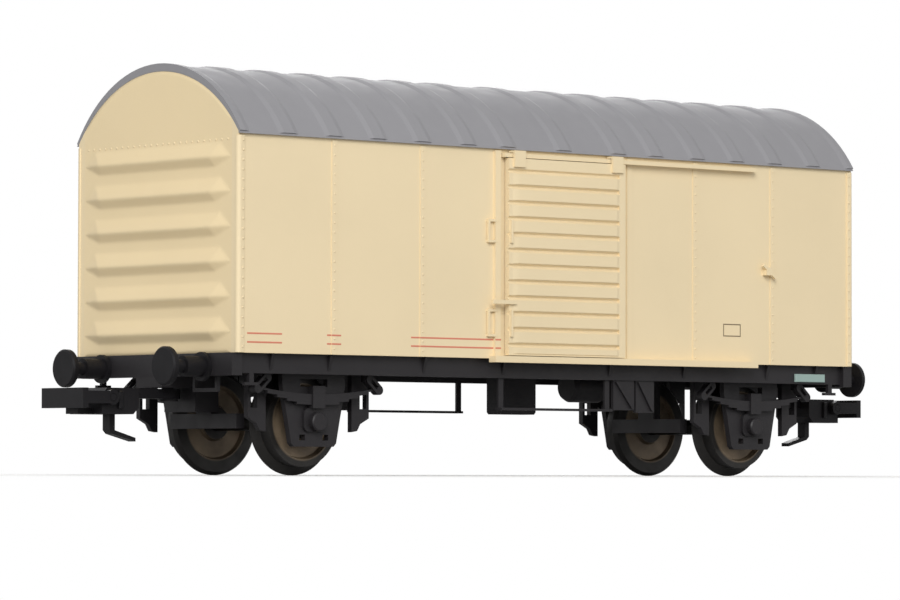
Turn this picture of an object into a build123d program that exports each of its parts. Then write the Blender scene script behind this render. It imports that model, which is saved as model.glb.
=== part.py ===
from build123d import *
import os
from math import asin, atan2, degrees, sqrt

# Model railway boxcar for 16.5 mm track, two axles, in millimetres.
# X runs along the wagon, Y across it and Z up. Z = 0 is the lowest point of the wheel flanges.
# "near" is the -Y side, "far" the +Y side, "left" the -X end and "right" the +X end.

# Body box: four moulded panels under an arched roof
body_length = 103.7
body_width = 32.0
body_bottom = 14.6
eave_height = 41.0
arch_rise = 8.0
wall = 1.2

# Raised details of the side walls
seams_from_end = (14.75, 28.75)
seam_width = 0.8
seam_proud = 0.12
corner_width = 0.9
trim_below_eave = 0.5
post_centre = 11.05
post_width = 0.9
post_proud = 0.4
bar_thickness = 0.3
bar_proud = 0.45
wall_bar_reach = 1.5
catch_from_seam = 1.2
catch_z = 26.8
catch_size = (1.2, 0.9, 1.0)
catch_lever = (2.8, 0.35, 0.4)
catch_lever_slope = 36

# Pressed ribs of the end walls, six-sided in outline and pointed at the crest's level
rib_count = 6
rib_below_eave = 3.0
rib_above_floor = 2.5
rib_end_gap = 0.2
rib_taper = 3.4
rib_out = 0.65
rib_rise_above = 1.8
rib_fall_below = 1.05
rib_corner_inset_above = 2.0
rib_corner_inset_below = 3.0
rib_crest_height = 0.12

# Roof sheet with transverse joint strips
roof_thickness = 0.8
roof_eave_drop = 0.3
roof_overhang = 0.45
roof_seat_gap = 0.03
roof_lip_gap = 0.06
strips_from_end = (7.45, 14.55, 21.45, 28.55, 35.95, 42.45)
strip_height = 0.2
strip_base = 3.0
strip_crown = 1.6
strip_root = 0.05
strip_eave_inset = 0.15

# Sliding doors, hung outside the walls
door_half_width = 9.85
door_thickness = 0.8
door_gap = 0.3
door_above_floor = 0.4
door_below_eave = 1.4
door_overlap = 0.65
opening_below_eave = 2.4
groove_count = 12
groove_below_top = 1.6
groove_above_bottom = 1.275
groove_height = 0.55
groove_floor = 0.15
groove_depth = 0.3
door_edge_strip = 1.0
hanger_offset = 8.3
hanger_width = 1.8
hanger_thickness = 0.35
hanger_plate_height = 1.1
hanger_clearance = 0.1
hanger_hook = 0.25
hanger_hook_reach = 1.15
door_bars = ((17.3, 20.7), (29.0, 31.9))
door_bar_inset = 0.25
latch_z = 21.6
latch_height = 0.5
latch_reach = 2.9

# Door rails: height range, outreach from the wall and ends (near side)
upper_rail_gap = 0.1
upper_rail_height = 0.5
upper_rail_out = 0.95
upper_rail_past_door = 0.55
lower_rail_drop = 0.5
lower_rail_height = 0.8
lower_rail_out = 1.3
lower_rail_past_door = 2.35
rail_past_travel = 0.45
door_travel = 23.0

# Floor with a raised deck that the panels fit round, and the weight on it
floor_inset = 1.0
floor_thickness = 1.0
deck_height = 0.8
deck_gap = 0.05
weight_end_gap = 7.65
weight_side_gap = 1.8
weight_thickness = 1.5

# Underframe
headstock_thickness = 1.55
headstock_inset = 0.4
headstock_depth = 2.7
headstock_proud = 0.5
solebar_depth = 2.4
solebar_web = 1.1
solebar_flange = 0.6
solebar_past_guard = 3.7
solebar_before_guard = 0.05
gussets_from_end = (5.85, 14.85, 29.85)
gusset_thickness = 0.4
gusset_out = 0.55
gusset_depth = 2.05
rope_hook_from_end = 2.95
rope_hook_size = (0.7, 0.5, 1.1)
rope_bar_size = (2.1, 0.5, 0.35)

# Wheelsets with pointed axle ends
axle_from_end = 14.85
tread_radius = 5.5
flange_depth = 1.0
flange_inner = 7.2
rim_width = 2.8
tread_fall = 0.08
flange_root = 1.25
flange_back_fall = 0.4
flange_tip = (0.44, 0.63)
wheel_hub_radius = 2.05
hub_width = 2.7
rim_inner_radius = 4.55
web_faces = (0.5, 2.1)
web_bevel = 0.25
axle_radius = 1.0
journal_radius = 0.8
journal_start = 10.6
axle_tip = 11.9
axle_tip_radius = 0.05
journal_gap = 0.05
cup_end_gap = 0.15

# Axle guards with their boxes
guard_inner = 11.3
guard_thickness = 0.8
# half width, height
guard_outline = ((3.1, 3.5), (3.5, 3.9), (4.1, 6.9), (4.6, 9.3), (4.9, 11.0))
guard_window_half = 2.1
guard_window_z = (10.75, 11.7)
# distance from the axle, height
tie_slot_x = (1.35, 2.25)
tie_slot_z = (4.25, 4.95)
box_width = 3.6
box_bottom = 5.3
box_top = 8.15
box_corner = 0.7
box_depth = 0.4
cover_radius = 1.15
cover_depth = 0.9
cover_edge = 0.15
cup_boss_radius = 1.4
cup_boss_depth = 0.5

# Leaf springs, hung from tilted oval links
leaf_half_lengths = (9.3, 7.8, 6.3, 4.8, 3.3)
leaf_thickness = 0.26
spring_width = 0.75
spring_gap = 0.1
spring_mid_top = 9.85
spring_end_top = 10.7
buckle_width = 1.9
buckle_over = 1.0
buckle_proud = 0.2
eye_radius = 0.42
link_low = (9.45, 10.45)
link_high = (8.0, 11.75)
link_width = 1.15
link_hole_width = 0.45
link_proud = 0.25
spring_hanger_x = (7.3, 8.7)
spring_hanger_depth = 1.6

# Brake blocks with their hangers beside the wheels
# distance from the axle, height
shoe_outline = ((6.7, 5.3), (7.6, 5.45), (8.1, 6.3), (9.45, 7.0))
shoe_slot_x = (8.0, 9.05)
shoe_slot_z = (8.15, 9.9)
shoe_inner_face = 10.4
shoe_thickness = 0.75
# Cross beams between the wheels and their hangers
beam_reach = (6.4, 7.6)
beam_half_width = 6.6
beam_z = (5.7, 7.5)
beam_hanger_half = 1.5

# Buffers
buffer_spacing = 20.1
buffer_below_body = 1.6
buffer_length = 6.11
buffer_base = (1.75, 0.5)
buffer_socket = (1.25, 3.2)
buffer_shank_radius = 0.8
buffer_head_radius = 2.33
buffer_head_thickness = 0.75
buffer_chamfer = 0.2

# Couplings: places along X are counted outwards from the end of the body
pocket_width = 5.2
pocket_depth = 4.0
pocket_span = (-4.35, 1.05)
link_box_span = (-7.2, -3.65)
link_box_half_width = 3.1
link_box_depth = 6.9
pivot_place = -1.85
pivot_radius = 0.7
pivot_gap = 0.05
pivot_head_radius = 1.2
pivot_head_height = 0.25
shank_width = 3.0
shank_gap = 0.15
shank_height = 1.2
head_span = (4.95, 10.45)
head_width = 6.4
head_height = 3.15
head_chamfer = 0.8
hook_width = 2.4
hook_nose_place = 12.55
hook_height = 2.1
hook_thickness = 0.7
tail_width = 1.4
tail_span = (6.65, 7.45)
tail_height = 1.9
tail_foot_place = 3.55
tail_foot_drop = 1.35
tail_foot_thickness = 0.45
bow_pivot_place = 9.45
bow_pivot_drop = 1.15
bow_pin_radius = 0.45
bow_outer = 4.2
bow_arm_thickness = 0.8
bow_arm_height = 1.5
bow_eye_radius = 0.9
bow_bar_place = 13.15
bow_bar_thickness = 0.8
bow_bar_height = (-1.3, 1.1)

# Steps and fittings below the body
step_post_inset = 0.85
step_post_size = (0.8, 0.3)
step_post_from_edge = 0.7
step_board_from_edge = (-1.1, 0.2)
step_board_z = (8.2, 8.5)
shunter_step_y = (6.5, 11.3)
shunter_step_drop = 1.9
shunter_step_bar = 0.45
shunter_step_from_end = 0.85
# left edge and right edge from the step post, bottom edge
brake_plates = ((1.0, 4.6, 8.4), (4.9, 8.1, 8.1))
brake_plate_from_edge = 0.8
brake_plate_thickness = 0.5
brake_lever_proud = 0.3
brake_lever_width = 0.4
air_box_from_axle = (-34.3, -28.5)
air_box_half_width = 1.5
air_box_bottom = 7.9
air_box_edge = 0.3
cylinder_from_axle = (-21.8, -15.8)
cylinder_radius = 2.0
cylinder_cap = 0.6
cylinder_saddle_width = 2.4

# Values worked out from the sizes above
half_length = body_length / 2
half_width = body_width / 2
seam_places = [side * (half_length - x) for x in seams_from_end for side in (-1, 1)]
catch_x = max(seam_places) - catch_from_seam
strip_places = [side * (half_length - x) for x in strips_from_end for side in (-1, 1)]
arch_top = eave_height + arch_rise
arch_radius = (half_width**2 + arch_rise**2) / (2 * arch_rise)
arch_centre = arch_top - arch_radius
roof_top = arch_top + roof_thickness
roof_eave = eave_height - roof_eave_drop
roof_half_width = half_width + roof_overhang
roof_rise = roof_top - roof_eave
roof_radius = (roof_half_width**2 + roof_rise**2) / (2 * roof_rise)
roof_centre = roof_top - roof_radius
trim_top = eave_height - trim_below_eave
rib_top_crest = eave_height - rib_below_eave
rib_length = 2 * (half_width - wall - rib_end_gap)
rib_pitch = (rib_top_crest - body_bottom - rib_above_floor) / (rib_count - 1)
door_bottom = body_bottom + door_above_floor
door_top = eave_height - door_below_eave
groove_top = door_top - groove_below_top
groove_pitch = (groove_top - door_bottom - groove_above_bottom) / (groove_count - 1)
hanger_bottom = door_top - hanger_plate_height
upper_rail_bottom = door_top + upper_rail_gap
lower_rail_bottom = body_bottom - lower_rail_drop
upper_rail_ends = (-door_half_width - upper_rail_past_door, door_half_width + door_travel + rail_past_travel)
lower_rail_ends = (-door_half_width - lower_rail_past_door, door_half_width + door_travel + rail_past_travel)
opening_half = door_half_width - door_overlap
opening_top = eave_height - opening_below_eave
deck_top = body_bottom + deck_height
floor_bottom = body_bottom - floor_thickness
door_inner_face = half_width + door_gap
door_outer_face = door_inner_face + door_thickness
floor_half_width = half_width - floor_inset
headstock_outer = half_length + headstock_proud
headstock_inner = headstock_outer - headstock_thickness
buffer_face = headstock_outer + buffer_length
solebar_inner = guard_inner - solebar_before_guard
solebar_outer = guard_inner + solebar_past_guard
gusset_places = [side * (half_length - x) for x in gussets_from_end for side in (-1, 1)]
rope_hook_x = half_length - rope_hook_from_end
headstock_bottom = body_bottom - headstock_depth
solebar_bottom = body_bottom - solebar_depth
gusset_foot = body_bottom - gusset_depth
buffer_height = body_bottom - buffer_below_body
pocket_bottom = body_bottom - pocket_depth
shunter_step_bottom = headstock_bottom - shunter_step_drop
shunter_step_x = half_length - shunter_step_from_end
step_post_x = door_half_width - step_post_inset
step_post_y = solebar_outer - step_post_from_edge
step_board_y = [solebar_outer + y for y in step_board_from_edge]
brake_plate_y = solebar_outer - brake_plate_from_edge
pocket_inner, pocket_outer = [half_length + x for x in pocket_span]
link_box_x = [half_length + x for x in link_box_span]
link_box_bottom = body_bottom - link_box_depth
pivot_x = half_length + pivot_place
shank_top = pocket_bottom - shank_gap
shank_bottom = shank_top - shank_height
head_inner, head_outer = [half_length + x for x in head_span]
head_bottom = shank_top - head_height
hook_nose = half_length + hook_nose_place
hook_tip_top = head_bottom + hook_height
tail_inner, tail_outer = [half_length + x for x in tail_span]
tail_bend = head_bottom - tail_height
tail_foot_end = half_length + tail_foot_place
tail_foot_bottom = tail_bend - tail_foot_drop
bow_pivot_x = half_length + bow_pivot_place
bow_pivot_z = shank_top - bow_pivot_drop
bow_bar_x = half_length + bow_bar_place
bow_bar_bottom, bow_bar_top = [bow_pivot_z + z for z in bow_bar_height]
axle_height = tread_radius + flange_depth
flange_radius = tread_radius + flange_depth
axle_x = half_length - axle_from_end
air_box_x = [axle_x + x for x in air_box_from_axle]
cylinder_x = [axle_x + x for x in cylinder_from_axle]
guard_outer = guard_inner + guard_thickness
box_face = guard_outer + box_depth
spring_y = (guard_outer + spring_gap, guard_outer + spring_gap + spring_width)
guard_top = floor_bottom - solebar_flange


def block(x, y, z):
    """Box between two planes on each axis."""
    spans = [(min(pair), max(pair)) for pair in (x, y, z)]
    size = [high - low for low, high in spans]
    centre = [(high + low) / 2 for low, high in spans]
    return Pos(*centre) * Box(*size)


def plate_xz(outline, y):
    """Plate between two Y planes, with an outline drawn in X and Z."""
    low, high = min(y), max(y)
    plane = Plane((0, high, 0), x_dir=(1, 0, 0), z_dir=(0, -1, 0))
    return extrude(plane * outline, amount=high - low, dir=(0, -1, 0))


def plate_yz(outline, x):
    """Plate between two X planes, with an outline drawn in Y and Z."""
    low, high = min(x), max(x)
    plane = Plane((low, 0, 0), x_dir=(0, 1, 0), z_dir=(1, 0, 0))
    return extrude(plane * outline, amount=high - low, dir=(1, 0, 0))


def polygon(*points):
    """Flat face inside a closed line through the points."""
    return Polygon(*points, align=None)


def turned_y(*points):
    """Solid turned about the Y axis from points of radius and Y."""
    return revolve(polygon(*points), Axis.Y)


def turned_x(*points):
    """Solid turned about the X axis from points of X and radius."""
    return revolve(polygon(*points), Axis.X)


def turned_z(radius, z):
    """Upright cylinder between two heights."""
    low, high = min(z), max(z)
    return Pos(0, 0, (low + high) / 2) * Cylinder(radius, high - low)


def across(radius, y):
    """Cylinder along Y between two planes."""
    low, high = min(y), max(y)
    return turned_y((0, low), (radius, low), (radius, high), (0, high))


def opposite(shape):
    """The same shape turned half a turn about the upright axis."""
    return Rot(0, 0, 180) * shape


def other_side(shape):
    """The same shape mirrored to the other side of the wagon."""
    return mirror(shape, about=Plane.XZ)


def other_end(shape):
    """The same shape mirrored to the other end of the wagon."""
    return mirror(shape, about=Plane.YZ)


def body_envelope():
    """Solid outline of the body: a box under a round arch."""
    sides = Polyline(
        (half_width, eave_height),
        (half_width, body_bottom),
        (-half_width, body_bottom),
        (-half_width, eave_height),
    )
    arch = ThreePointArc((-half_width, eave_height), (0, arch_top), (half_width, eave_height))
    outline = make_face(sides.edges() + arch.edges())
    return plate_yz(outline, (-half_length, half_length))


def side_trim(x, proud, width):
    """Upright strip on the near side wall."""
    return block((x - width / 2, x + width / 2), (-half_width - proud, -half_width), (body_bottom, trim_top))


def grab_bar(x_bar, x_root, z, y_root, y_face):
    """Grab bar shaped like a bracket, with its two ends running to a post or panel."""
    low, high = z
    edge = bar_thickness / 2
    upright = block((x_bar - edge, x_bar + edge), (y_root, y_face), (low, high))
    top_end = block((x_bar, x_root), (y_root, y_face), (high - bar_thickness, high))
    low_end = block((x_bar, x_root), (y_root, y_face), (low, low + bar_thickness))
    return upright + top_end + low_end


def side_wall():
    """Near side wall with its door opening, seams, door post, grab bars and door catch."""
    y = (-half_width, -half_width + wall)
    panel = body_envelope() & block((-half_length, half_length), y, (body_bottom, arch_top))
    panel -= block((-opening_half, opening_half), (y[0] - 1, y[1] + 1), (deck_top, opening_top))
    for x in seam_places:
        panel += side_trim(x, seam_proud, seam_width)
    for x in (-half_length + corner_width / 2, half_length - corner_width / 2):
        panel += side_trim(x, seam_proud, corner_width)
    panel += side_trim(-post_centre, post_proud, post_width)
    panel += side_trim(post_centre + post_width / 2, seam_proud, post_width)
    bar_x = -post_centre - wall_bar_reach
    for z in door_bars:
        bar_root = -half_width - bar_proud + bar_thickness
        panel += grab_bar(bar_x, -post_centre, z, bar_root, -half_width - bar_proud)
        for z_leg in (z[0] + bar_thickness / 2, z[1] - bar_thickness / 2):
            leg = Box(bar_thickness, bar_proud, bar_thickness)
            panel += Pos(bar_x, -half_width - bar_proud / 2, z_leg) * leg
    panel += Pos(catch_x, -half_width - catch_size[1] / 2, catch_z) * Box(*catch_size)
    lever = Rot(0, catch_lever_slope, 0) * Box(*catch_lever)
    panel += Pos(catch_x, -half_width - catch_size[1] + catch_lever[1] / 2, catch_z) * lever
    return panel - door_rails().solids()


def rib_outline(half, above, below):
    """Six-sided outline across the wagon, its points at height 0."""
    above_corner = half - above * rib_corner_inset_above / rib_rise_above
    below_corner = half - below * rib_corner_inset_below / rib_fall_below
    return polygon(
        (half, 0),
        (above_corner, above),
        (-above_corner, above),
        (-half, 0),
        (-below_corner, -below),
        (below_corner, -below),
    )


def end_rib(crest_z):
    """Pressed rib on the left end wall, from its base on the wall out to its crest."""
    base_plane = Plane((-half_length, 0, crest_z), x_dir=(0, 1, 0), z_dir=(1, 0, 0))
    crest_plane = Plane((-half_length - rib_out, 0, crest_z), x_dir=(0, 1, 0), z_dir=(1, 0, 0))
    base = base_plane * rib_outline(rib_length / 2, rib_rise_above, rib_fall_below)
    crest_half = rib_length / 2 - rib_taper
    crest = crest_plane * rib_outline(crest_half, rib_crest_height / 2, rib_crest_height / 2)
    return loft([base, crest], ruled=True)


def end_wall():
    """Left end wall between the side walls, with its pressed ribs."""
    x_face = -half_length
    half = half_width - wall
    panel = body_envelope() & block((x_face, x_face + wall), (-half, half), (body_bottom, arch_top))
    for index in range(rib_count):
        panel += end_rib(rib_top_crest - index * rib_pitch)
    return panel


def roof():
    """Arched roof sheet, thin at the eaves, with a raised strip over each sheet joint."""
    lip = half_width + roof_lip_gap
    seat_radius = arch_radius + roof_seat_gap
    lip_top = arch_centre + sqrt(seat_radius**2 - lip**2)
    outer = ThreePointArc((roof_half_width, roof_eave), (0, roof_top), (-roof_half_width, roof_eave))
    inner = ThreePointArc((lip, lip_top), (0, arch_centre + seat_radius), (-lip, lip_top))
    near_edge = Polyline((-roof_half_width, roof_eave), (-lip, roof_eave), (-lip, lip_top))
    far_edge = Polyline((roof_half_width, roof_eave), (lip, roof_eave), (lip, lip_top))
    outline = make_face(outer.edges() + near_edge.edges() + inner.edges() + far_edge.edges())
    sheet = plate_yz(outline, (-half_length, half_length))
    for x in [0.0] + strip_places:
        sheet += roof_strip(x, (strip_base, strip_crown))
    for side in (-1, 1):
        end_strip = roof_strip(side * half_length, (strip_base, strip_crown))
        sheet += end_strip & block((-half_length, half_length), (-body_width, body_width), (0, 2 * roof_top))
    return sheet


def roof_strip(x, widths):
    """Raised strip over the roof arch, from eave to eave."""
    base, crown = widths
    root = roof_radius - strip_root
    sweep = degrees(asin((roof_half_width - strip_eave_inset) / roof_radius))
    profile = polygon(
        (x - base / 2, root),
        (x - base / 2, roof_radius),
        (x - crown / 2, roof_radius + strip_height),
        (x + crown / 2, roof_radius + strip_height),
        (x + base / 2, roof_radius),
        (x + base / 2, root),
    )
    upright = Plane((0, 0, 0), x_dir=(1, 0, 0), z_dir=(0, -1, 0)) * profile
    band = revolve(Rot(-sweep, 0, 0) * upright, Axis.X, revolution_arc=2 * sweep)
    return Pos(0, 0, roof_centre) * band


def door():
    """Near door with its pressed grooves, hangers, grab bars and latch."""
    face = -door_outer_face
    outer = face - hanger_thickness
    panel = block((-door_half_width, door_half_width), (-door_inner_face, face), (door_bottom, door_top))
    groove_end = door_half_width - door_edge_strip
    for index in range(groove_count):
        z = groove_top - index * groove_pitch
        section = polygon(
            (face - groove_floor, z + groove_height / 2 + groove_floor / 2),
            (face, z + groove_height / 2),
            (face + groove_depth, z + groove_floor / 2),
            (face + groove_depth, z - groove_floor / 2),
            (face, z - groove_height / 2),
            (face - groove_floor, z - groove_height / 2 - groove_floor / 2),
        )
        panel -= plate_yz(section, (-door_half_width - 1, groove_end))
    for x in (-hanger_offset, hanger_offset):
        span = (x - hanger_width / 2, x + hanger_width / 2)
        hook_top = upper_rail_bottom + upper_rail_height + hanger_clearance + hanger_hook
        panel += block(span, (outer, face + groove_depth), (hanger_bottom, door_top))
        panel += block(span, (outer, face), (door_top, hook_top))
        panel += block(span, (outer, outer + hanger_hook_reach), (hook_top - hanger_hook, hook_top))
    bar_x = -door_half_width + door_bar_inset
    for z in door_bars:
        panel += block((bar_x - bar_thickness / 2, bar_x + bar_thickness / 2), (outer, face + groove_depth), z)
    latch_x = (-door_half_width - latch_reach, -door_half_width + 1)
    latch_span = (latch_z - latch_height / 2, latch_z + latch_height / 2)
    panel += block(latch_x, (outer, face), latch_span)
    panel += block((-door_half_width, -door_half_width + 1), (outer, face + groove_depth), latch_span)
    return panel


def door_rails():
    """Upper and lower rail of the near door."""
    upper_z = (upper_rail_bottom, upper_rail_bottom + upper_rail_height)
    upper = block(upper_rail_ends, (-half_width - upper_rail_out, -half_width), upper_z)
    lower_z = (lower_rail_bottom, lower_rail_bottom + lower_rail_height)
    lower = block(lower_rail_ends, (-half_width - lower_rail_out, -half_width), lower_z)
    return Compound([upper, lower])


def floor():
    """Floor plate with a raised deck that locates the four body panels."""
    plate = block(
        (-headstock_inner, headstock_inner), (-floor_half_width, floor_half_width), (floor_bottom, body_bottom)
    )
    deck_x = half_length - wall - deck_gap
    deck_y = half_width - wall - deck_gap
    return plate + block((-deck_x, deck_x), (-deck_y, deck_y), (body_bottom, deck_top))


def weight():
    """Steel weight on the deck."""
    x = half_length - wall - weight_end_gap
    y = half_width - wall - weight_side_gap
    return block((-x, x), (-y, y), (deck_top, deck_top + weight_thickness))


def solebar():
    """Far solebar with its inner flange, the gussets under the body side and two rope hooks."""
    outer = solebar_outer
    flange_bottom = floor_bottom - solebar_flange
    section = polygon(
        (outer, solebar_bottom),
        (outer, floor_bottom),
        (solebar_inner, floor_bottom),
        (solebar_inner, flange_bottom),
        (outer - solebar_web, flange_bottom),
        (outer - solebar_web, solebar_bottom),
    )
    beam = plate_yz(section, (-headstock_inner, headstock_inner))
    gusset = polygon((outer, gusset_foot), (outer, body_bottom), (outer + gusset_out, body_bottom))
    for x in gusset_places + [-step_post_x, step_post_x]:
        beam += plate_yz(gusset, (x - gusset_thickness / 2, x + gusset_thickness / 2))
    post_width, hook_y, post_drop = rope_hook_size
    bar_low = solebar_bottom - post_drop
    for x in (-rope_hook_x, rope_hook_x):
        at_end = Pos(x, outer - hook_y / 2, 0)
        post = Pos(0, 0, solebar_bottom - post_drop / 2) * Box(post_width, hook_y, post_drop)
        bar = Pos(0, 0, bar_low - rope_bar_size[2] / 2) * Box(*rope_bar_size)
        beam += at_end * post
        beam += at_end * bar
    return beam


def headstock():
    """Right headstock, the beam that carries buffers and coupling."""
    half = half_width - headstock_inset
    return block((headstock_inner, headstock_outer), (-half, half), (headstock_bottom, body_bottom))


def buffer(y):
    """Right buffer: base, socket, shank and flat head."""
    base_radius, base_depth = buffer_base
    socket_radius, socket_depth = buffer_socket
    x0 = headstock_outer
    head_back = buffer_face - buffer_head_thickness
    solid = turned_x(
        (x0, 0),
        (x0, base_radius),
        (x0 + base_depth, base_radius),
        (x0 + base_depth, socket_radius),
        (x0 + socket_depth, socket_radius),
        (x0 + socket_depth, buffer_shank_radius),
        (head_back, buffer_shank_radius),
        (head_back, buffer_head_radius),
        (buffer_face - buffer_chamfer, buffer_head_radius),
        (buffer_face, buffer_head_radius - buffer_chamfer),
        (buffer_face, 0),
    )
    return Pos(0, y, buffer_height) * solid


def coupling_pocket():
    """Pocket and linkage box under the right end, with the pin on which the coupling swings."""
    half = pocket_width / 2
    pocket = block((pocket_inner, headstock_inner), (-half, half), (pocket_bottom, floor_bottom))
    pocket += block((pocket_inner, pocket_outer), (-half, half), (pocket_bottom, headstock_bottom))
    box_y = (-link_box_half_width, link_box_half_width)
    pocket += block(link_box_x, box_y, (link_box_bottom, floor_bottom))
    head_top = shank_bottom - pivot_gap
    pin = turned_z(pivot_radius, (head_top, pocket_bottom))
    pin += turned_z(pivot_head_radius, (head_top - pivot_head_height, head_top))
    return pocket + Pos(pivot_x, 0, 0) * pin


def coupling_head():
    """Right coupling head with its shank, hook, tail and the pins of the bow."""
    half_shank = shank_width / 2
    half_head = head_width / 2
    head = block((pivot_x, head_inner), (-half_shank, half_shank), (shank_bottom, shank_top))
    head += Pos(pivot_x, 0, 0) * turned_z(half_shank, (shank_bottom, shank_top))
    head -= Pos(pivot_x, 0, 0) * turned_z(pivot_radius + pivot_gap, (head_bottom, shank_top))
    outline = polygon(
        (head_inner, head_bottom + head_chamfer),
        (head_inner, shank_top),
        (head_outer - head_chamfer, shank_top),
        (head_outer, shank_top - head_chamfer),
        (head_outer, head_bottom),
        (head_inner + head_chamfer, head_bottom),
    )
    head += plate_xz(outline, (-half_head, half_head))
    hook = polygon(
        (head_outer, head_bottom),
        (hook_nose, head_bottom),
        (hook_nose, hook_tip_top - hook_thickness / 2),
        (hook_nose - hook_thickness, hook_tip_top),
        (hook_nose - hook_thickness, head_bottom + hook_thickness),
        (head_outer, head_bottom + hook_thickness),
    )
    head += plate_xz(hook, (-hook_width / 2, hook_width / 2))
    tail = polygon(
        (tail_outer, head_bottom),
        (tail_outer, tail_bend),
        (tail_outer - tail_foot_thickness, tail_bend - tail_foot_thickness),
        (tail_foot_end, tail_foot_bottom),
        (tail_foot_end, tail_foot_bottom + tail_foot_thickness),
        (tail_inner, tail_bend),
        (tail_inner, head_bottom),
    )
    head += plate_xz(tail, (-tail_width / 2, tail_width / 2))
    head += Pos(bow_pivot_x, 0, bow_pivot_z) * across(bow_pin_radius, (-bow_outer, bow_outer))
    return head


def coupling_bow():
    """Right coupling bow: two arms on the head's pins and a cross bar."""
    inner = bow_outer - bow_arm_thickness
    arm = Pos(bow_pivot_x, 0, bow_pivot_z) * across(bow_eye_radius, (inner, bow_outer))
    arm_z = (bow_pivot_z - bow_arm_height / 2, bow_pivot_z + bow_arm_height / 2)
    arm += block((bow_pivot_x, bow_bar_x), (inner, bow_outer), arm_z)
    bar_x = (bow_bar_x, bow_bar_x + bow_bar_thickness)
    bow = arm + other_side(arm) + block(bar_x, (-bow_outer, bow_outer), (bow_bar_bottom, bow_bar_top))
    hole = across(bow_pin_radius + pivot_gap, (-bow_outer - 1, bow_outer + 1))
    return bow - Pos(bow_pivot_x, 0, bow_pivot_z) * hole


def axle():
    """Axle with pointed ends."""
    shoulder = journal_start - (axle_radius - journal_radius)
    return turned_y(
        (0, -axle_tip),
        (axle_tip_radius, -axle_tip),
        (journal_radius, -journal_start),
        (axle_radius, -shoulder),
        (axle_radius, shoulder),
        (journal_radius, journal_start),
        (axle_tip_radius, axle_tip),
        (0, axle_tip),
    )


def wheel():
    """Far wheel of an axle: flanged tread, dished web and hub."""
    web_in, web_out = web_faces
    return Pos(0, flange_inner, 0) * turned_y(
        (axle_radius, 0),
        (wheel_hub_radius, 0),
        (wheel_hub_radius + web_bevel, web_in),
        (rim_inner_radius - web_bevel, web_in),
        (rim_inner_radius, 0),
        (flange_radius - flange_back_fall, 0),
        (flange_radius, flange_tip[0]),
        (flange_radius, flange_tip[1]),
        (tread_radius, flange_root),
        (tread_radius - tread_fall, rim_width),
        (rim_inner_radius, rim_width),
        (rim_inner_radius - web_bevel, web_out),
        (wheel_hub_radius + web_bevel, web_out),
        (wheel_hub_radius, hub_width),
        (axle_radius, hub_width),
    )


def axle_guard():
    """Far axle guard with its box, standing over the middle of the wagon."""
    right = [(x, z) for x, z in guard_outline]
    top_half = guard_outline[-1][0]
    left = [(-x, z) for x, z in reversed(guard_outline)]
    outline = polygon(*right, (top_half, guard_top), (-top_half, guard_top), *left)
    through = (guard_inner, guard_outer)
    guard = plate_xz(outline, through)
    guard -= block((-guard_window_half, guard_window_half), through, guard_window_z)
    slot = block(tie_slot_x, through, tie_slot_z)
    guard -= slot
    guard -= other_end(slot)
    box_height = box_top - box_bottom
    box = Pos(0, box_bottom + box_height / 2) * RectangleRounded(box_width, box_height, box_corner)
    guard += plate_xz(box, (guard_outer, box_face))
    at_axle = Pos(0, 0, axle_height)
    cover_face = box_face + cover_depth
    guard += at_axle * turned_y(
        (0, box_face),
        (cover_radius, box_face),
        (cover_radius, cover_face - cover_edge),
        (cover_radius - cover_edge, cover_face),
        (0, cover_face),
    )
    guard += at_axle * across(cup_boss_radius, (guard_inner - cup_boss_depth, guard_inner))
    cup = turned_y(
        (0, journal_start),
        (journal_radius + journal_gap, journal_start),
        (axle_tip_radius + journal_gap, axle_tip),
        (0, axle_tip + cup_end_gap),
    )
    return guard - at_axle * cup


def spring_link():
    """Oval link between the spring's +X end and its bracket, with a long hole."""
    x_low, z_low = link_low
    x_high, z_high = link_high
    run, rise = x_low - x_high, z_high - z_low
    length = sqrt(run**2 + rise**2)
    tilt = degrees(atan2(rise, -run))
    middle = Pos((x_low + x_high) / 2, (z_low + z_high) / 2)
    ring = SlotCenterToCenter(length, link_width) - SlotCenterToCenter(length, link_hole_width)
    return plate_xz(middle * Rot(0, 0, tilt) * ring, (spring_y[0], spring_y[1] + link_proud))


def leaf_spring():
    """Far leaf spring with its buckle, links and brackets, over the middle of the wagon."""
    rise = spring_end_top - spring_mid_top
    span = leaf_half_lengths[0]
    radius = (span**2 + rise**2) / (2 * rise)
    centre_z = spring_mid_top + radius
    y_low, y_high = spring_y
    spring = None
    for index, half in enumerate(leaf_half_lengths):
        r_in = radius + index * leaf_thickness
        r_out = r_in + leaf_thickness
        sweep = degrees(asin(half / r_in))
        section = polygon((-r_in, y_low), (-r_out, y_low), (-r_out, y_high), (-r_in, y_high))
        lower = Rot(0, -90 - sweep, 0) * section
        leaf = Pos(0, 0, centre_z) * revolve(lower, Axis.Y, revolution_arc=2 * sweep)
        spring = leaf if spring is None else spring + leaf
    buckle_x = (-buckle_width / 2, buckle_width / 2)
    spring += block(buckle_x, (y_low, y_high + buckle_proud), (box_top, spring_mid_top + buckle_over))
    bracket = block(spring_hanger_x, spring_y, (guard_top - spring_hanger_depth, guard_top))
    pin = Pos(link_high[0], 0, link_high[1]) * across(link_hole_width / 2, (y_low, y_high + link_proud))
    eye = Pos(link_low[0], 0, link_low[1]) * across(eye_radius, (y_low, y_high + link_proud))
    for piece in (bracket, spring_link(), pin, eye):
        spring += piece
        spring += other_end(piece)
    return spring


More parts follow.
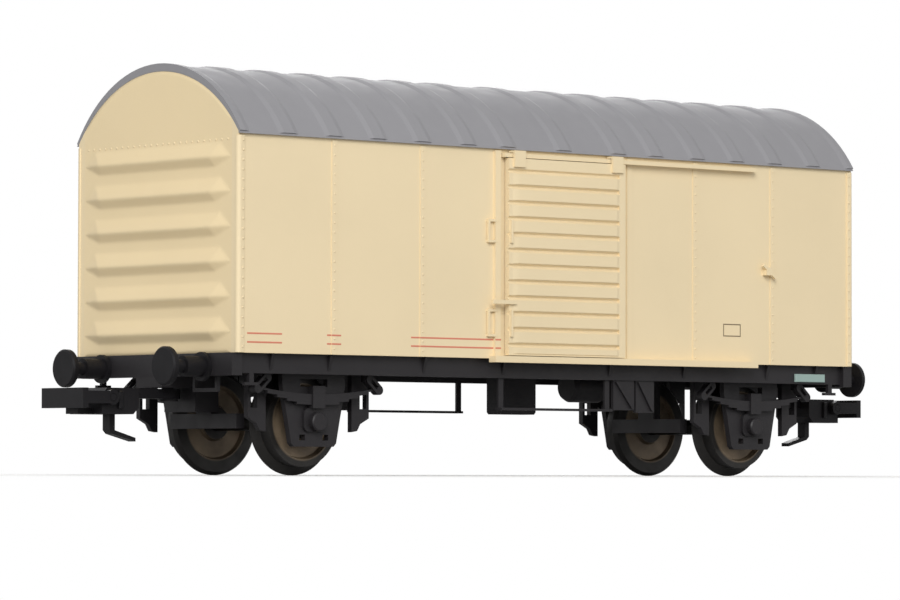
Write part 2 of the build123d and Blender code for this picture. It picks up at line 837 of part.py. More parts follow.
def brake_shoe():
    """Brake block and hanger beside a far wheel, on its +X side, measured along from the axle."""
    inner = shoe_outline[0][0]
    outer = shoe_outline[-1][0]
    faces = (shoe_inner_face, shoe_inner_face + shoe_thickness)
    shoe = plate_xz(polygon(*shoe_outline, (outer, floor_bottom), (inner, floor_bottom)), faces)
    return shoe - block(shoe_slot_x, faces, shoe_slot_z)


def four_shoes():
    """Brake blocks on both sides of both wheels of one axle."""
    shoe = brake_shoe()
    pair = [shoe, other_side(shoe)]
    return Compound(pair + [other_end(one) for one in pair])


def brake_beams():
    """The two cross beams of one axle with their hangers, measured along from the axle."""
    beam = block(beam_reach, (-beam_half_width, beam_half_width), beam_z)
    beam += block(beam_reach, (-beam_hanger_half, beam_hanger_half), (beam_z[0], floor_bottom))
    return Compound([beam, other_end(beam)])


def step_posts():
    """The two posts of the far door step."""
    width, thickness = step_post_size
    y = (step_post_y, step_post_y + thickness)
    z = (step_board_z[1], solebar_bottom)
    post = block((step_post_x - width / 2, step_post_x + width / 2), y, z)
    return Compound([post, other_end(post)])


def step_board():
    """Tread board of the far door step."""
    half = step_post_x + step_post_size[0] / 2
    return block((-half, half), step_board_y, step_board_z)


def shunter_step():
    """Hand and foot rail of a shunter, below the left headstock on the near side."""
    inner, outer = shunter_step_y
    half = shunter_step_bar / 2
    x = (-shunter_step_x - half, -shunter_step_x + half)
    top = headstock_bottom
    step = block(x, (-outer, -inner), (shunter_step_bottom, shunter_step_bottom + shunter_step_bar))
    step += block(x, (-outer, -outer + shunter_step_bar), (shunter_step_bottom, top))
    return step + block(x, (-inner - shunter_step_bar, -inner), (shunter_step_bottom, top))


def changeover_plates():
    """The two plates with brake change levers below the near solebar."""
    plates = []
    for left_place, right_place, low in brake_plates:
        left, right = step_post_x + left_place, step_post_x + right_place
        y = (-brake_plate_y - brake_plate_thickness, -brake_plate_y)
        plate = block((left, right), y, (low, solebar_bottom))
        half = brake_lever_width / 2
        lever = polygon(
            (right - half - brake_lever_width, low + half),
            (right - half, low + half),
            (left + half + brake_lever_width, solebar_bottom - half),
            (left + half, solebar_bottom - half),
        )
        plates.append(plate + plate_xz(lever, (y[0] - brake_lever_proud, y[0])))
    return Compound(plates)


def air_box():
    """Equipment box below the floor."""
    y = (-air_box_half_width, air_box_half_width)
    box = block(air_box_x, y, (air_box_bottom, floor_bottom))
    low_edges = box.edges().filter_by(Axis.X).sort_by(Axis.Z)[:2]
    return chamfer(low_edges, air_box_edge)


def brake_cylinder():
    """Lying brake cylinder with end caps and its saddle under the floor."""
    x_low, x_high = cylinder_x
    axis_z = floor_bottom - cylinder_radius
    body = turned_x(
        (x_low, 0),
        (x_low, cylinder_radius - cylinder_cap / 2),
        (x_low + cylinder_cap, cylinder_radius),
        (x_high - cylinder_cap, cylinder_radius),
        (x_high, cylinder_radius - cylinder_cap / 2),
        (x_high, 0),
    )
    half = cylinder_saddle_width / 2
    saddle_x = (x_low + cylinder_cap, x_high - cylinder_cap)
    return Pos(0, 0, axis_z) * body + block(saddle_x, (-half, half), (axis_z, floor_bottom))


def build_nodes():
    """All sub-parts by name, each at its place on the wagon."""
    nodes = {
        "floor": floor(),
        "weight": weight(),
        "roof": roof(),
        "air_box": air_box(),
        "brake_cylinder": brake_cylinder(),
        "headstock_right": headstock(),
        "headstock_left": opposite(headstock()),
        "end_wall_left": end_wall(),
        "end_wall_right": opposite(end_wall()),
        "solebar_far": solebar(),
        "solebar_near": other_side(solebar()),
        "door_step_posts_far": step_posts(),
        "door_step_posts_near": other_side(step_posts()),
        "door_step_board_far": step_board(),
        "door_step_board_near": other_side(step_board()),
        "shunter_step_left": shunter_step(),
        "shunter_step_right": opposite(shunter_step()),
        "coupling_pocket_right": coupling_pocket(),
        "coupling_pocket_left": opposite(coupling_pocket()),
        "coupling_head_right": coupling_head(),
        "coupling_head_left": opposite(coupling_head()),
        "coupling_bow_right": coupling_bow(),
        "coupling_bow_left": opposite(coupling_bow()),
    }
    near_pieces = {
        "side_wall": side_wall(),
        "door": door(),
        "door_rails": door_rails(),
        "changeover_plates": changeover_plates(),
    }
    for name, piece in near_pieces.items():
        nodes[name + "_near"] = piece
        nodes[name + "_far"] = opposite(piece)
    far_pieces = {"axle_guard": axle_guard(), "leaf_spring": leaf_spring()}
    for end, x in (("left", -axle_x), ("right", axle_x)):
        at_axle = Pos(x, 0, axle_height)
        nodes["axle_" + end] = at_axle * axle()
        nodes["wheel_far_" + end] = at_axle * wheel()
        nodes["wheel_near_" + end] = at_axle * other_side(wheel())
        nodes["brake_shoes_" + end] = Pos(x, 0, 0) * four_shoes()
        nodes["brake_beams_" + end] = Pos(x, 0, 0) * brake_beams()
        for name, piece in far_pieces.items():
            nodes[name + "_far_" + end] = Pos(x, 0, 0) * piece
            nodes[name + "_near_" + end] = Pos(x, 0, 0) * other_side(piece)
    for side, y in (("near", -buffer_spacing / 2), ("far", buffer_spacing / 2)):
        nodes["buffer_" + side + "_right"] = buffer(y)
        nodes["buffer_" + side + "_left"] = other_end(buffer(y))
    return nodes


os.makedirs("parts", exist_ok=True)
for node, shape in build_nodes().items():
    export_step(shape, f"parts/{node}.step")
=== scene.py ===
import math

import bpy
from mathutils import Matrix, Vector


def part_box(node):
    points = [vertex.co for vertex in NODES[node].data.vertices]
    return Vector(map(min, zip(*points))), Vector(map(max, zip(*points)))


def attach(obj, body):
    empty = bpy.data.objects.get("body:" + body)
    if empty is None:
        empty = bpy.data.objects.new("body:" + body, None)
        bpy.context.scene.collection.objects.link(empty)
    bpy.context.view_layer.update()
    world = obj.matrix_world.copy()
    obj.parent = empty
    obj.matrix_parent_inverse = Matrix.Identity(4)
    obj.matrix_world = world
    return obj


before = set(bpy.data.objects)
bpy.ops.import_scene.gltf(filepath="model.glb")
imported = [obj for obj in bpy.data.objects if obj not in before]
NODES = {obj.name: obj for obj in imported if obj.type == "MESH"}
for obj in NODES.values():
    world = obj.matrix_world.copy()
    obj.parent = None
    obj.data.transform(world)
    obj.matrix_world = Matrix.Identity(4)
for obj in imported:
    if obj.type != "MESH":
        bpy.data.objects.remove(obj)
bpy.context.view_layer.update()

MM = 0.001

# Camera: fitted to the photograph, with the eye at floor level, in metres and radians
IMAGE_WIDTH_PX = 900
FOCAL_PX = 4619.0
SENSOR_MM = 36.0
EYE = Vector((-0.38967, -0.448, 0.0005))
YAW = 0.70965
PITCH = 0.03716
ROLL = 0.00224
CLIP_NEAR = 0.01
CLIP_FAR = 50.0

# Lamps: name, place and size in metres, and watts
LAMPS = (
    ("key", (-0.97, -1.16, 0.78), 0.9, 22.8),
    ("back", (0.9, 1.3, 0.6), 1.0, 13.0),
)
LAMP_AIM = Vector((0, 0, 0.025))
WORLD_LIGHT = 0.4

# Floor, in metres: its grey as light and as the camera sees it, and where it fades to white
FLOOR_HALF = 3.0
FLOOR_BOUNCE = 0.47
FLOOR_SHOWN = 0.9
FLOOR_ROUGHNESS = 0.9
FADE_START = 0.09
FADE_END = 0.26

# Colours as display values, 0 to 255
CREAM = (235, 216, 178)
# End walls: the sides' cream plastic tinted warmer, a painted warm shade for the bounce light on the end
# walls
END_CREAM_WARM_SHADE = (237, 216, 174)
ROOF_GREY = (144, 143, 146)
PLASTIC_BLACK = (35, 33, 35)
# Buffers and coupling heads: the underframe's black made darker, as painted shade for the shadowed wagon
# ends
BUFFER_BLACK_PAINTED_SHADE = (26, 25, 27)
WHEEL_BROWN = (126, 110, 90)
RIM_BLACK = (36, 34, 32)
STEEL = (150, 148, 145)
PINSTRIPE_RED = (214, 132, 108)
OUTLINE_BROWN = (122, 108, 84)
PLATE_GREEN = (150, 172, 166)

# Scales of the noise patterns, and the height of the bumps in metres
PLASTIC_CLOUD = 55.0
PLASTIC_GLOSS = 420.0
PLASTIC_GRAIN = 5200.0
WHEEL_CLOUD = 260.0
WHEEL_GLOSS = 600.0
STEEL_CLOUD = 150.0
STEEL_GLOSS = 900.0
STEEL_GRAIN = 2600.0
BUMP_HEIGHT = 0.00002

# Plastic: how far its roughness goes either way, and its light clouds as a share of the dark ones
GLOSS_SPREAD = 0.06
LIGHT_SHARE = 0.6

# Metals: metallic share, lowest and highest roughness, and strength of the bumps
WHEEL_METALLIC = 0.35
WHEEL_ROUGHNESS = (0.34, 0.5)
WHEEL_BUMP = 0.12
STEEL_METALLIC = 0.9
STEEL_ROUGHNESS = (0.3, 0.5)
STEEL_BUMP = 0.3

# Wheels, in metres from the axle: where the web's colour turns to that of the rim and the hub
RIM_EDGE = (0.0045, 0.0048)
HUB_EDGE = (0.00195, 0.00215)

# Turning marks on the wheels, in radians for each metre from the axle
TURNING_MARKS = 42000.0

# Places in millimetres that the frame gives
BODY_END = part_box("roof")[1][0] / MM
END_WALL_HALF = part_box("end_wall_left")[1][1] / MM
BODY_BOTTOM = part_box("side_wall_near")[0][2] / MM
DOOR_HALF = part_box("door_near")[1][0] / MM
DOOR_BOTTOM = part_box("door_near")[0][2] / MM
SOLEBAR_INNER = -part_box("solebar_near")[1][1] / MM
AXLE_X = (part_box("wheel_near_right")[0][0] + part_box("wheel_near_right")[1][0]) / 2 / MM
AXLE_Z = (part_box("wheel_near_right")[0][2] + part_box("wheel_near_right")[1][2]) / 2 / MM

# Walls and their trim, in millimetres like every size below
WALL = 1.2
SIDE_FACE = END_WALL_HALF + WALL
TRIM_PROUD = 0.12
TRIM_TOP = 40.5
SEAMS_FROM_END = (14.75, 28.75)
SEAM_HALF = 0.4
POST = (-11.5, -10.6)
POST_PROUD = 0.4
SOLEBAR_DEPTH = 3.75
SOLEBAR_FACE = SOLEBAR_INNER + SOLEBAR_DEPTH

# How far an added piece reaches into the solid under it
SUNK = 0.02

# Soft edges of the end walls, which stop short of their outer edges
END_ROUNDING = 0.75
ROUNDING_MARGIN = 0.05
ROUNDING_SAMPLES = 6

# Rivets, and the dome as shares of their radius and height
RIVET_RADIUS = 0.15
RIVET_HEIGHT = 0.07
RIVET_PITCH = 1.15
RIVET_SIDES = 10
RIVET_DOME = ((1.0, -0.02), (0.96, 0.35), (0.72, 0.8), (0.34, 1.0))
SIDE_ROW_BOTTOM = 0.7
SIDE_ROW_TOP = 0.6
END_ROW_INSET = 0.8
END_RIVET_Z = 40.1

# Upright mouldings over the body's corners
MOULDING_OUT = 0.14
MOULDING_WIDTH = 0.88
MOULDING_ROUND = 0.46
MOULDING_RIVET = 0.6
MOULDING_STEPS = 8
MOULDING_LEG = 0.4
MOULDING_SLOPE = 0.06
MOULDING_FALL = 0.04
MOULDING_BOTTOM = 0.03
MOULDING_TOP = 0.05

# Doors: raised bands between the grooves, with slopes at left, right, bottom and top
DOOR_PROUD = 1.1
DOOR_FACE = SIDE_FACE + DOOR_PROUD
GROOVE_TOP = 38.0
GROOVE_LOW = 16.275
GROOVE_COUNT = 12
GROOVE_OPENING = 0.55
BAND_LEFT = 0.62
BAND_RIGHT = 1.05
BAND_LOWEST = 0.2
BAND_CLEAR = 0.02
BAND_SLOPES = (0.95, 0.5, 0.05, 0.05)

# Share of the slopes at each level of a band, and the level's height over the door
BAND_LEVELS = ((0.0, -SUNK), (0.12, 0.02), (0.85, 0.1), (1.0, 0.11))

# Ribs on the coupling heads
HEAD_HALF = 3.2
RIB_X = (-59.95, -59.35)
RIB_Z = (7.95, 10.1)
RIB_PROUD = 0.4
RIB_BEVEL = 0.1

# Printed lines
STRIPES_Z = (15.87, 16.92)
STRIPE_HEIGHT = 0.2
STRIPE_SPANS = ((-50.4, -45.1), (-38.15, -35.95), (-24.9, -11.5))
PRINT_PROUD = 0.02
OUTLINE_X = (28.2, 31.35)
OUTLINE_Z = (18.15, 19.8)
OUTLINE_LINE = 0.14

# Plate on the solebar
PLATE_X = (42.2, 47.65)
PLATE_Z = (12.45, 13.5)
PLATE_PROUD = 0.3
PLATE_BEVEL = 0.06


def linear(colour):
    """Display colour, 0 to 255, as a linear one with alpha."""
    parts = [value / 255 for value in colour]
    return [p / 12.92 if p <= 0.04045 else ((p + 0.055) / 1.055) ** 2.4 for p in parts] + [1.0]


def shade(colour, factor):
    """A linear colour made darker or lighter."""
    return [min(part * factor, 1.0) for part in colour[:3]] + [1.0]


class Nodes:
    """Short way to make and join the nodes of one material."""

    def __init__(self, name):
        self.material = bpy.data.materials.new(name)
        self.material.use_nodes = True
        self.tree = self.material.node_tree
        self.shader = self.tree.nodes["Principled BSDF"]
        coords = self.tree.nodes.new("ShaderNodeTexCoord")
        self.place = coords.outputs["Object"]

    def _put(self, source, socket):
        if isinstance(source, (int, float, list, tuple)):
            socket.default_value = source
        else:
            self.tree.links.new(source, socket)

    def noise(self, scale, detail=3.0):
        node = self.tree.nodes.new("ShaderNodeTexNoise")
        node.inputs["Scale"].default_value = scale
        node.inputs["Detail"].default_value = detail
        self.tree.links.new(self.place, node.inputs["Vector"])
        return node.outputs["Fac"]

    def ramp(self, value, stops):
        """Colours between stops, each a place from 0 to 1 and a colour."""
        node = self.tree.nodes.new("ShaderNodeValToRGB")
        ramp = node.color_ramp
        while len(ramp.elements) < len(stops):
            ramp.elements.new(0.5)
        for element, (at, colour) in zip(ramp.elements, stops):
            element.position = at
            element.color = colour
        self.tree.links.new(value, node.inputs["Fac"])
        return node.outputs["Color"]

    def spread(self, value, low, high, from_low=0.3, from_high=0.7):
        """The value carried over from its own range to low and high, and held there."""
        node = self.tree.nodes.new("ShaderNodeMapRange")
        node.inputs["From Min"].default_value = from_low
        node.inputs["From Max"].default_value = from_high
        node.inputs["To Min"].default_value = low
        node.inputs["To Max"].default_value = high
        self.tree.links.new(value, node.inputs["Value"])
        return node.outputs["Result"]

    def mix(self, factor, first, second):
        node = self.tree.nodes.new("ShaderNodeMix")
        node.data_type = "RGBA"
        self._put(factor, node.inputs["Factor"])
        self._put(first, node.inputs["A"])
        self._put(second, node.inputs["B"])
        return node.outputs["Result"]

    def math(self, operation, first, second=0.0):
        node = self.tree.nodes.new("ShaderNodeMath")
        node.operation = operation
        self._put(first, node.inputs[0])
        self._put(second, node.inputs[1])
        return node.outputs["Value"]

    def distance(self, first, second):
        """Root of the sum of two squares."""
        squares = [self.math("POWER", part, 2.0) for part in (first, second)]
        return self.math("SQRT", self.math("ADD", *squares))

    def axis_parts(self):
        node = self.tree.nodes.new("ShaderNodeSeparateXYZ")
        self.tree.links.new(self.place, node.inputs["Vector"])
        return node.outputs["X"], node.outputs["Y"], node.outputs["Z"]

    def rounded(self, radius, edge):
        """Softened edges, whose radius falls to nothing where Y comes to the edge at either side."""
        node = self.tree.nodes.new("ShaderNodeBevel")
        node.samples = ROUNDING_SAMPLES
        from_middle = self.math("ABSOLUTE", self.axis_parts()[1])
        reach = self.spread(from_middle, radius * MM, 0.0, (edge - radius) * MM, edge * MM)
        self.tree.links.new(reach, node.inputs["Radius"])
        return node.outputs["Normal"]

    def bump(self, height, strength, normal=None):
        node = self.tree.nodes.new("ShaderNodeBump")
        if normal:
            self.tree.links.new(normal, node.inputs["Normal"])
        node.inputs["Strength"].default_value = strength
        node.inputs["Distance"].default_value = BUMP_HEIGHT
        self.tree.links.new(height, node.inputs["Height"])
        self.tree.links.new(node.outputs["Normal"], self.shader.inputs["Normal"])

    def colour(self, source):
        self._put(source, self.shader.inputs["Base Color"])

    def rough(self, source):
        self._put(source, self.shader.inputs["Roughness"])


def moulded_plastic(name, colour, roughness=0.5, clouds=0.03, grain=0.5, shine=0.3, rounding=0.0):
    """Satin moulded plastic: faint cloudy shade, fine eggshell grain."""
    nodes = Nodes(name)
    base = linear(colour)
    dark = shade(base, 1 - clouds)
    light = shade(base, 1 + clouds * LIGHT_SHARE)
    stops = ((0.3, dark), (0.52, base), (0.72, light))
    nodes.colour(nodes.ramp(nodes.noise(PLASTIC_CLOUD, 4.0), stops))
    gloss = nodes.noise(PLASTIC_GLOSS)
    nodes.rough(nodes.spread(gloss, roughness - GLOSS_SPREAD, roughness + GLOSS_SPREAD))
    soft = nodes.rounded(rounding, END_WALL_HALF - ROUNDING_MARGIN) if rounding else None
    nodes.bump(nodes.noise(PLASTIC_GRAIN, 2.0), grain, soft)
    nodes.shader.inputs["Specular IOR Level"].default_value = shine
    return nodes.material


def wheel_metal(name, web_colour, rim_colour):
    """Blackened wheel with a browned web and turning marks round the axle."""
    nodes = Nodes(name)
    x, _, z = nodes.axis_parts()
    from_axle = nodes.math("SUBTRACT", nodes.math("ABSOLUTE", x), AXLE_X * MM)
    height = nodes.math("SUBTRACT", z, AXLE_Z * MM)
    radius = nodes.distance(from_axle, height)
    rings = nodes.math("SINE", nodes.math("MULTIPLY", radius, TURNING_MARKS))
    base = linear(web_colour)
    black = linear(rim_colour)
    stops = ((0.3, shade(base, 0.6)), (0.65, shade(base, 1.15)))
    web = nodes.ramp(nodes.noise(WHEEL_CLOUD, 5.0), stops)
    on_rim = nodes.spread(radius, 0.0, 1.0, *RIM_EDGE)
    on_hub = nodes.spread(radius, 1.0, 0.0, *HUB_EDGE)
    nodes.colour(nodes.mix(on_hub, nodes.mix(on_rim, web, black), black))
    nodes.shader.inputs["Metallic"].default_value = WHEEL_METALLIC
    nodes.rough(nodes.spread(nodes.noise(WHEEL_GLOSS), *WHEEL_ROUGHNESS))
    nodes.bump(rings, WHEEL_BUMP)
    return nodes.material


def rolled_steel(name, colour):
    """Steel with a cloudy shade and a fine grain."""
    nodes = Nodes(name)
    base = linear(colour)
    nodes.colour(nodes.ramp(nodes.noise(STEEL_CLOUD, 5.0), ((0.3, shade(base, 0.6)), (0.65, base))))
    nodes.shader.inputs["Metallic"].default_value = STEEL_METALLIC
    nodes.rough(nodes.spread(nodes.noise(STEEL_GLOSS), *STEEL_ROUGHNESS))
    nodes.bump(nodes.noise(STEEL_GRAIN, 2.0), STEEL_BUMP)
    return nodes.material


def make_materials():
    return {
        "cream": moulded_plastic("cream_plastic", CREAM),
        # The end walls' warmer cream is painted shade; their softened edges come from shading normals
        "cream_end_warm_shade": moulded_plastic("cream_plastic_end_warm_shade", END_CREAM_WARM_SHADE, rounding=END_ROUNDING),
        "grey": moulded_plastic("grey_plastic", ROOF_GREY, roughness=0.62, clouds=0.035),
        "black": moulded_plastic("black_plastic", PLASTIC_BLACK, clouds=0.2),
        # Buffers and couplings take the darker black, which is painted shade
        "buffer": moulded_plastic("buffer_plastic_painted_shade", BUFFER_BLACK_PAINTED_SHADE, clouds=0.2, shine=0.15),
        "gloss_black_painted_shade": moulded_plastic(
            "coupling_plastic_painted_shade", BUFFER_BLACK_PAINTED_SHADE, roughness=0.4, clouds=0.2, shine=0.15
        ),
        "wheel": wheel_metal("blackened_metal", WHEEL_BROWN, RIM_BLACK),
        "axle": rolled_steel("blackened_steel", RIM_BLACK),
        "steel": rolled_steel("plain_steel", STEEL),
        "red": moulded_plastic("red_print", PINSTRIPE_RED, clouds=0.05, grain=0.2),
        "brown": moulded_plastic("brown_print", OUTLINE_BROWN, clouds=0.05, grain=0.2),
        "plate": moulded_plastic("plate_print", PLATE_GREEN, clouds=0.05, grain=0.2),
    }


def dress_nodes(materials):
    """Gives each CAD node its finished material, black where no start of a name fits."""
    chosen = (
        ("side_wall", "cream"),
        ("end_wall", "cream_end_warm_shade"),
        ("door_rails", "cream"),
        ("door_near", "cream"),
        ("door_far", "cream"),
        ("roof", "grey"),
        ("weight", "steel"),
        ("axle_left", "axle"),
        ("axle_right", "axle"),
        ("wheel_", "wheel"),
        ("coupling_head", "gloss_black_painted_shade"),
        ("coupling_bow", "gloss_black_painted_shade"),
        ("buffer", "buffer"),
    )
    for node in NODES:
        kind = "black"
        for start, name in chosen:
            if node.startswith(start):
                kind = name
        mesh = NODES[node].data
        mesh.materials.clear()
        mesh.materials.append(materials[kind])


class Shape:
    """Points and faces of a piece, in millimetres, gathered before it is made."""

    def __init__(self):
        self.points = []
        self.faces = []

    def add(self, points, faces):
        start = len(self.points)
        self.points += [tuple(point) for point in points]
        self.faces += [tuple(start + index for index in face) for face in faces]

    def stack(self, rings):
        """Closed solid through rings of the same number of points."""
        count = len(rings[0])
        faces = [tuple(reversed(range(count)))]
        for level in range(len(rings) - 1):
            low = level * count
            for index in range(count):
                after = (index + 1) % count
                faces.append((low + index, low + after, low + count + after, low + count + index))
        top = (len(rings) - 1) * count
        faces.append(tuple(range(top, top + count)))
        self.add([point for ring in rings for point in ring], faces)

    def turned(self):
        """The same shape turned half round about the upright axis."""
        other = Shape()
        other.points = [(-x, -y, z) for x, y, z in self.points]
        other.faces = list(self.faces)
        return other

    def make(self, name, body, material, slot, smooth=False):
        mesh = bpy.data.meshes.new(name)
        mesh.from_pydata([Vector(point) * MM for point in self.points], [], self.faces)
        mesh.materials.append(material)
        for polygon in mesh.polygons:
            polygon.use_smooth = smooth
        mesh.update()
        piece = bpy.data.objects.new(name, mesh)
        bpy.context.scene.collection.objects.link(piece)
        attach(piece, body)


def on_side(outline, y):
    """Ring of X and Z points on a plane that faces the near side."""
    return [(x, y, z) for x, z in outline]


def rectangle(x, z, inset=(0, 0, 0, 0)):
    """Corners of a rectangle, inset at left, right, bottom and top."""
    left, right, bottom, top = inset
    return [
        (x[0] + left, z[0] + bottom),
        (x[1] - right, z[0] + bottom),
        (x[1] - right, z[1] - top),
        (x[0] + left, z[1] - top),
    ]


def raised(x, z, face, shoulder, proud, bevel):
    """Rings of a plate with bevelled edges on a face that looks to the near side."""
    return [
        on_side(rectangle(x, z), -face + SUNK),
        on_side(rectangle(x, z), -face - shoulder),
        on_side(rectangle(x, z, (bevel,) * 4), -face - proud),
    ]


def printed_line(shape, x, z, face):
    """Line of ink on a face that looks to the near side."""
    shape.stack(raised(x, z, face, PRINT_PROUD / 2, PRINT_PROUD, PRINT_PROUD))


def rivet(shape, centre, outward, across):
    """Low dome on a face that looks outward."""
    outward = Vector(outward)
    across = Vector(across)
    other = outward.cross(across)
    rings = []
    for reach, rise in RIVET_DOME:
        top = Vector(centre) + outward * RIVET_HEIGHT * rise
        ring = []
        for index in range(RIVET_SIDES):
            turn = 2 * math.pi * index / RIVET_SIDES
            side = across * math.cos(turn) + other * math.sin(turn)
            ring.append(top + side * RIVET_RADIUS * reach)
        rings.append(ring)
    shape.stack(rings)


def evenly(low, high, pitch):
    """Places from low to high, as near to the pitch as fits."""
    count = max(1, round((high - low) / pitch))
    return [low + (high - low) * index / count for index in range(count + 1)]


def side_rivets():
    """Rivet rows on the seams and corner mouldings of the near side."""
    shape = Shape()
    heights = evenly(BODY_BOTTOM + SIDE_ROW_BOTTOM, TRIM_TOP - SIDE_ROW_TOP, RIVET_PITCH)
    rows = [(from_end, 0.0) for from_end in SEAMS_FROM_END]
    rows.append((MOULDING_RIVET, MOULDING_OUT))
    for from_end, out in rows:
        for side in (-1, 1):
            for z in heights:
                place = (side * (BODY_END - from_end), -SIDE_FACE - TRIM_PROUD - out, z)
                rivet(shape, place, (0, -1, 0), (1, 0, 0))
    return shape


def corner_moulding(shape, side):
    """Rounded moulding over one corner of the near side."""
    end = BODY_END + MOULDING_OUT
    face = SIDE_FACE + TRIM_PROUD + MOULDING_OUT
    start = BODY_END - MOULDING_WIDTH
    outline = [(start, -SIDE_FACE), (start + MOULDING_SLOPE, -face + MOULDING_FALL)]
    for index in range(MOULDING_STEPS + 1):
        turn = math.pi / 2 * index / MOULDING_STEPS
        x = end - MOULDING_ROUND + MOULDING_ROUND * math.sin(turn)
        y = -face + MOULDING_ROUND - MOULDING_ROUND * math.cos(turn)
        outline.append((x, y))
    outline.append((end, -SIDE_FACE + MOULDING_LEG - MOULDING_SLOPE))
    outline.append((BODY_END - SUNK, -SIDE_FACE + MOULDING_LEG))
    outline.append((BODY_END - SUNK, -SIDE_FACE))
    heights = (BODY_BOTTOM + MOULDING_BOTTOM, TRIM_TOP - MOULDING_TOP)
    rings = [[(side * x, y, z) for x, y in outline] for z in heights]
    if side < 0:
        rings = [list(reversed(ring)) for ring in rings]
    shape.stack(rings)


def corner_mouldings():
    """Mouldings over both corners of the near side."""
    shape = Shape()
    for side in (-1, 1):
        corner_moulding(shape, side)
    return shape


def end_rivets():
    """Row of rivets across the left end wall under the arch."""
    shape = Shape()
    half = END_WALL_HALF - END_ROW_INSET
    for y in evenly(-half, half, RIVET_PITCH):
        rivet(shape, (-BODY_END, y, END_RIVET_Z), (-1, 0, 0), (0, 1, 0))
    return shape


def door_bands():
    """Pressed bands between the grooves of the near door, sloped at their ends."""
    shape = Shape()
    pitch = (GROOVE_TOP - GROOVE_LOW) / (GROOVE_COUNT - 1)
    x = (-DOOR_HALF + BAND_LEFT, DOOR_HALF - BAND_RIGHT)
    edge = GROOVE_OPENING / 2 + BAND_CLEAR
    for index in range(GROOVE_COUNT):
        top = GROOVE_TOP - index * pitch - edge
        bottom = max(top + 2 * edge - pitch, DOOR_BOTTOM + BAND_LOWEST)
        rings = []
        for reach, rise in BAND_LEVELS:
            inset = [slope * reach for slope in BAND_SLOPES]
            rings.append(on_side(rectangle(x, (bottom, top), inset), -DOOR_FACE - rise))
        shape.stack(rings)
    return shape


def pinstripes():
    """Two printed lines along the lower edge of the near side, left of the door."""
    shape = Shape()
    for z in STRIPES_Z:
        span = (z - STRIPE_HEIGHT / 2, z + STRIPE_HEIGHT / 2)
        for reach in STRIPE_SPANS:
            printed_line(shape, reach, span, SIDE_FACE)
        for from_end in SEAMS_FROM_END:
            seam = from_end - BODY_END
            printed_line(shape, (seam - SEAM_HALF, seam + SEAM_HALF), span, SIDE_FACE + TRIM_PROUD)
        printed_line(shape, POST, span, SIDE_FACE + POST_PROUD)
    return shape


def outlined_field():
    """Empty printed rectangle on the right of the near side."""
    shape = Shape()
    left, right = OUTLINE_X
    low, high = OUTLINE_Z
    line = OUTLINE_LINE
    for z in ((low, low + line), (high - line, high)):
        printed_line(shape, (left, right), z, SIDE_FACE)
    for x in ((left, left + line), (right - line, right)):
        printed_line(shape, x, (low + line, high - line), SIDE_FACE)
    return shape


def solebar_plate():
    """Blank plate on the near solebar."""
    shape = Shape()
    shoulder = PLATE_PROUD - PLATE_BEVEL
    shape.stack(raised(PLATE_X, PLATE_Z, SOLEBAR_FACE, shoulder, PLATE_PROUD, PLATE_BEVEL))
    return shape


def coupling_ribs():
    """Upright rib on each side of the left coupling head."""
    shape = Shape()
    rings = raised(RIB_X, RIB_Z, HEAD_HALF, RIB_PROUD - RIB_BEVEL, RIB_PROUD, RIB_BEVEL)
    shape.stack(rings)
    shape.stack([[(x, -y, z) for x, y, z in reversed(ring)] for ring in rings])
    return shape


def add_pair(name, shape, material, slot, bodies=("wagon", "wagon"), ends=("near", "far"), smooth=False):
    """Makes a piece and its copy turned half round."""
    shape.make(f"{name}_{ends[0]}", bodies[0], material, slot, smooth)
    shape.turned().make(f"{name}_{ends[1]}", bodies[1], material, slot, smooth)


def add_details(materials):
    cream = materials["cream"]
    sides = ("left", "right")
    doors = ("door_near", "door_far")
    couplings = ("coupling_left", "coupling_right")
    # The coupling ribs take the couplings' darker black, which is painted shade
    black = materials["gloss_black_painted_shade"]
    add_pair("corner_moulding", corner_mouldings(), cream, "cream_panel")
    add_pair("side_rivets", side_rivets(), cream, "cream_panel", smooth=True)
    add_pair("end_rivets", end_rivets(), cream, "cream_panel", ends=sides, smooth=True)
    add_pair("door_bands", door_bands(), cream, "cream_door", bodies=doors)
    add_pair("pinstripes", pinstripes(), materials["red"], "cream_panel")
    add_pair("outlined_field", outlined_field(), materials["brown"], "cream_panel")
    add_pair("solebar_plate", solebar_plate(), materials["plate"], "black_underframe")
    add_pair("coupling_ribs", coupling_ribs(), black, "black_coupling", bodies=couplings, ends=sides)


def grey(level):
    return (level, level, level, 1)


def make_stage():
    """Pale floor that keeps the shadow near the object and turns white further out."""
    half = FLOOR_HALF
    mesh = bpy.data.meshes.new("floor")
    corners = [(-half, -half, 0), (half, -half, 0), (half, half, 0), (-half, half, 0)]
    mesh.from_pydata(corners, [], [(0, 1, 2, 3)])
    floor = bpy.data.objects.new("floor", mesh)
    bpy.context.scene.collection.objects.link(floor)
    nodes = Nodes("floor_white")
    nodes.rough(FLOOR_ROUGHNESS)
    path = nodes.tree.nodes.new("ShaderNodeLightPath")
    seen = path.outputs["Is Camera Ray"]
    nodes.colour(nodes.mix(seen, grey(FLOOR_BOUNCE), grey(FLOOR_SHOWN)))
    x, y, _ = nodes.axis_parts()
    far_out = nodes.spread(nodes.distance(x, y), 0.0, 1.0, FADE_START, FADE_END)
    glow = nodes.tree.nodes.new("ShaderNodeEmission")
    glow.inputs["Color"].default_value = grey(1)
    blend = nodes.tree.nodes.new("ShaderNodeMixShader")
    links = nodes.tree.links
    links.new(nodes.math("MULTIPLY", far_out, seen), blend.inputs["Fac"])
    links.new(nodes.shader.outputs["BSDF"], blend.inputs[1])
    links.new(glow.outputs["Emission"], blend.inputs[2])
    links.new(blend.outputs["Shader"], nodes.tree.nodes["Material Output"].inputs["Surface"])
    mesh.materials.append(nodes.material)


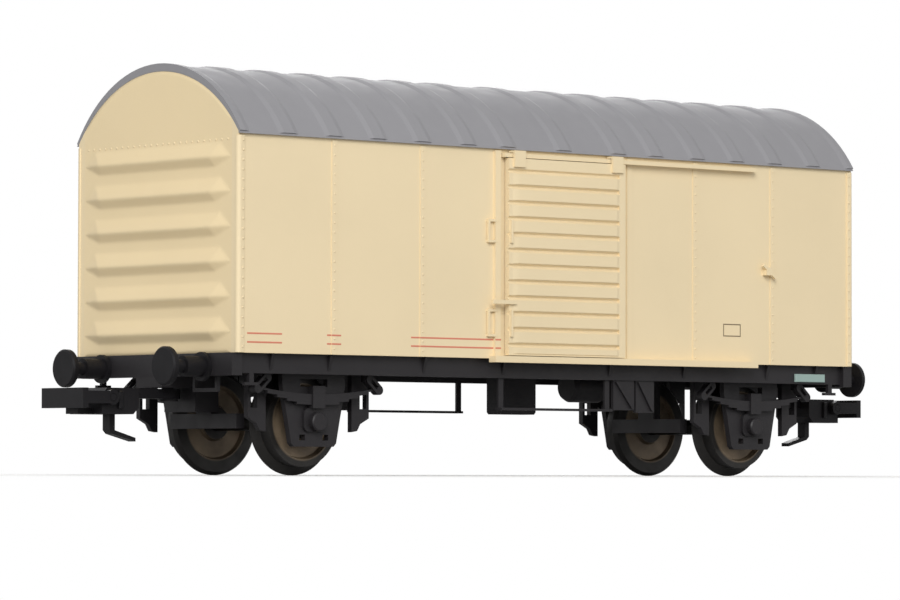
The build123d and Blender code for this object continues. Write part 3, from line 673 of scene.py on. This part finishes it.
def make_world():
    """White to the camera and in reflections, softer as light."""
    world = bpy.data.worlds.new("surround")
    bpy.context.scene.world = world
    world.use_nodes = True
    tree = world.node_tree
    background = tree.nodes["Background"]
    background.inputs["Color"].default_value = grey(1)
    path = tree.nodes.new("ShaderNodeLightPath")
    seen = path.outputs["Is Camera Ray"]
    for ray in ("Is Glossy Ray", "Is Transmission Ray"):
        either = tree.nodes.new("ShaderNodeMath")
        either.operation = "MAXIMUM"
        tree.links.new(seen, either.inputs[0])
        tree.links.new(path.outputs[ray], either.inputs[1])
        seen = either.outputs["Value"]
    strength = tree.nodes.new("ShaderNodeMapRange")
    strength.inputs["To Min"].default_value = WORLD_LIGHT
    strength.inputs["To Max"].default_value = 1.0
    tree.links.new(seen, strength.inputs["Value"])
    tree.links.new(strength.outputs["Result"], background.inputs["Strength"])


def make_lamps():
    """Square soft lamps that look at the wagon's middle."""
    for name, place, size, watts in LAMPS:
        data = bpy.data.lights.new(name, "AREA")
        data.shape = "SQUARE"
        data.size = size
        data.energy = watts
        lamp = bpy.data.objects.new(name, data)
        bpy.context.scene.collection.objects.link(lamp)
        lamp.location = place
        lamp.rotation_euler = (LAMP_AIM - Vector(place)).to_track_quat("-Z", "Y").to_euler()


def make_camera():
    data = bpy.data.cameras.new("camera")
    data.sensor_fit = "HORIZONTAL"
    data.sensor_width = SENSOR_MM
    data.lens = FOCAL_PX / IMAGE_WIDTH_PX * SENSOR_MM
    data.clip_start = CLIP_NEAR
    data.clip_end = CLIP_FAR
    camera = bpy.data.objects.new("camera", data)
    bpy.context.scene.collection.objects.link(camera)
    level = math.cos(PITCH)
    forward = Vector((math.sin(YAW) * level, math.cos(YAW) * level, math.sin(PITCH)))
    right = Vector((math.cos(YAW), -math.sin(YAW), 0.0))
    up = right.cross(forward)
    turned_right = right * math.cos(ROLL) + up * math.sin(ROLL)
    turned_up = turned_right.cross(forward)
    axes = Matrix((turned_right, turned_up, -forward)).transposed().to_4x4()
    camera.matrix_world = Matrix.Translation(EYE) @ axes
    bpy.context.scene.camera = camera


make_camera()
make_stage()
make_world()
make_lamps()
MATERIALS = make_materials()
dress_nodes(MATERIALS)
add_details(MATERIALS)

bpy.context.scene.view_settings.view_transform = "Standard"
